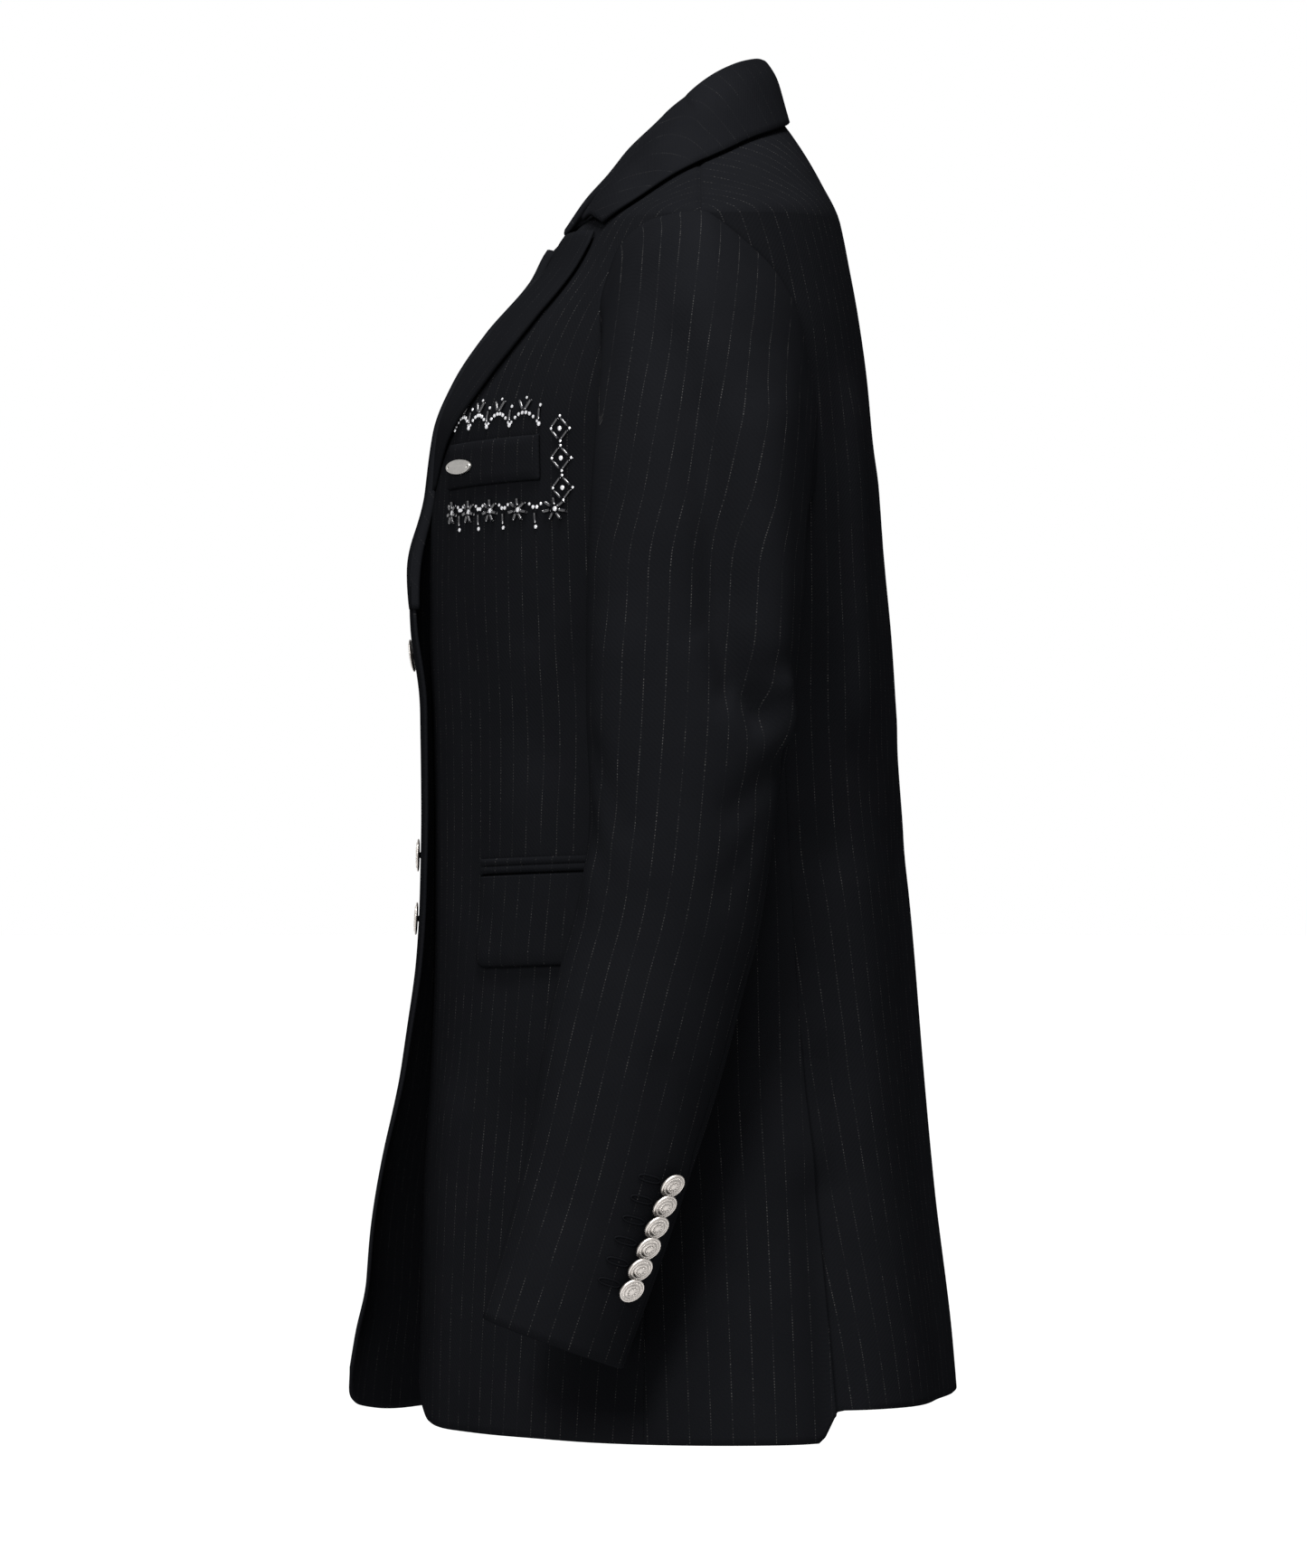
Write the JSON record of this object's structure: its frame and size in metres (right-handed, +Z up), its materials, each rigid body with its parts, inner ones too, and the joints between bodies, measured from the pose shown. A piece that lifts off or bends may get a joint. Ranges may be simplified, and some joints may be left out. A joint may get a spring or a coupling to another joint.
{
  "type": "wool jacket",
  "caption": "Long single-breasted wool jacket with notch lapels, flap pockets, side vents and metal cuff buttons, hollow as worn.",
  "frame": {"origin": "middle of the neck at the height where the shoulder seams meet the collar, held there by the wearer's shoulders", "axes": "+Z up, the wearer faces -Y, and the wearer's left is +X"},
  "size_m": [0.57, 0.348, 0.7795],
  "materials": {
    "wool_cloth": "matte black worsted with fine dotted white pinstripes",
    "aged_metal": "satin aged silver"
  },
  "bodies": {
    "root": {"front_left": "wool_cloth", "front_right": "wool_cloth", "side_left": "wool_cloth", "side_right": "wool_cloth", "back_left": "wool_cloth", "back_right": "wool_cloth", "top_sleeve_left": "wool_cloth", "under_sleeve_left": "wool_cloth", "top_sleeve_right": "wool_cloth", "under_sleeve_right": "wool_cloth", "lapel_left": "wool_cloth", "lapel_right": "wool_cloth", "collar": "wool_cloth", "breast_welt": "wool_cloth", "pocket_jet_left": "wool_cloth", "pocket_jet_right": "wool_cloth", "pocket_flap_left": "wool_cloth", "pocket_flap_right": "wool_cloth", "breast_plate": "aged_metal", "cuff_button_left_1": "aged_metal", "cuff_button_left_2": "aged_metal", "cuff_button_left_3": "aged_metal", "cuff_button_left_4": "aged_metal", "cuff_button_left_5": "aged_metal", "cuff_button_left_6": "aged_metal", "cuff_button_right_1": "aged_metal", "cuff_button_right_2": "aged_metal", "cuff_button_right_3": "aged_metal", "cuff_button_right_4": "aged_metal", "cuff_button_right_5": "aged_metal", "cuff_button_right_6": "aged_metal", "front_button_1": "aged_metal", "front_button_2": "aged_metal", "front_button_3": "aged_metal"}
  },
  "joints": []
}
